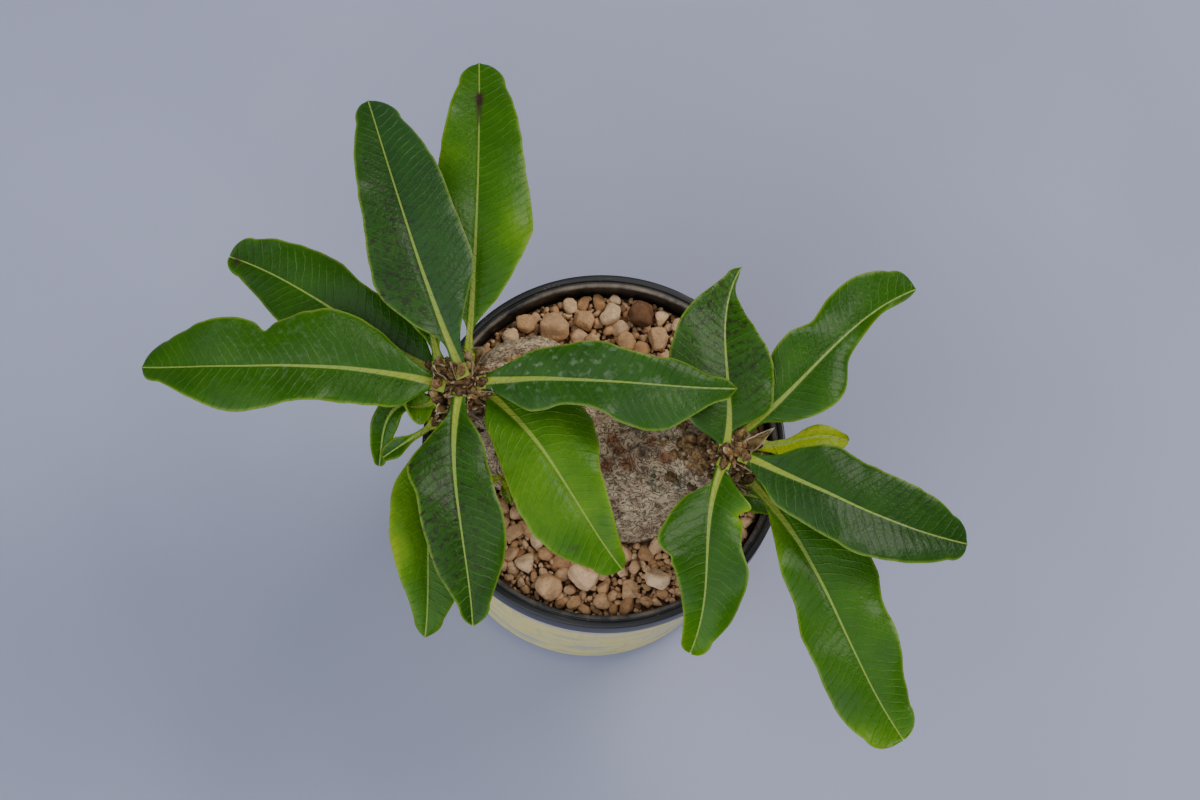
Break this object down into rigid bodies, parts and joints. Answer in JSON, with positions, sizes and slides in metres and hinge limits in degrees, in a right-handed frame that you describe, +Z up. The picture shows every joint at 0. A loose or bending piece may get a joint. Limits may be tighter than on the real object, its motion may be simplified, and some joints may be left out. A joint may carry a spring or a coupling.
{
  "type": "potted pachypodium",
  "caption": "Squat pachypodium with leafy crowns on a swollen grey stem, set in tan stones in a small round black plastic pot with a pale printed sleeve.",
  "frame": {"origin": "centre of the pot's flat base", "axes": "+Z up, +X across the pot towards the right-hand crown, which is also the plant's longest spread"},
  "size_m": [0.1954, 0.1683, 0.1177],
  "materials": {
    "black_plastic": "black moulded plastic, satin, with dust and fine scratches on the rim",
    "printed_sleeve": "pale yellow printed film with soft grey-green shapes",
    "bark": "grey-tan wrinkled bark with dark cracks and round leaf scars",
    "potting_soil": "dark crumbly potting soil",
    "fine_grit": "fine tan grit",
    "tan_stone": "dusty tan stone",
    "pale_stone": "dusty pale stone",
    "orange_stone": "dusty orange-brown stone",
    "green_leaf": "glossy dark green leaf with a pale midrib and veins",
    "papery_bract": "dry brown papery bract"
  },
  "bodies": {
    "root": {"pot": "black_plastic", "label_sleeve": "printed_sleeve", "caudex": "bark", "soil": "potting_soil", "grit_bed": "fine_grit", "stone_01": "pale_stone", "stone_02": "orange_stone", "stone_03": "tan_stone", "stone_04": "pale_stone", "stone_05": "orange_stone", "stone_06": "tan_stone", "stone_07": "pale_stone", "stone_08": "orange_stone", "stone_09": "tan_stone", "stone_10": "pale_stone", "stone_11": "orange_stone", "stone_12": "tan_stone", "stone_13": "pale_stone", "stone_14": "orange_stone", "stone_15": "tan_stone", "stone_16": "pale_stone", "stone_17": "orange_stone", "stone_18": "tan_stone", "stone_19": "pale_stone", "stone_20": "orange_stone", "leaf_left_east": "green_leaf", "leaf_left_southeast": "green_leaf", "leaf_left_south": "green_leaf", "leaf_left_southwest": "green_leaf", "leaf_left_west": "green_leaf", "leaf_left_northwest": "green_leaf", "leaf_left_north": "green_leaf", "leaf_left_northeast": "green_leaf", "leaf_left_hanging": "green_leaf", "leaf_left_cupped": "green_leaf", "leaf_left_curled": "green_leaf", "leaf_left_hidden": "green_leaf", "leaf_right_north": "green_leaf", "leaf_right_northeast": "green_leaf", "leaf_right_east": "green_leaf", "leaf_right_southeast": "green_leaf", "leaf_right_long": "green_leaf", "leaf_right_south": "green_leaf", "leaf_right_low": "green_leaf", "bract_right_pointed": "papery_bract", "bract_right_cupped": "papery_bract", "bract_right_low": "papery_bract", "bract_left_upper": "papery_bract", "bract_left_lower": "papery_bract"}
  },
  "joints": []
}
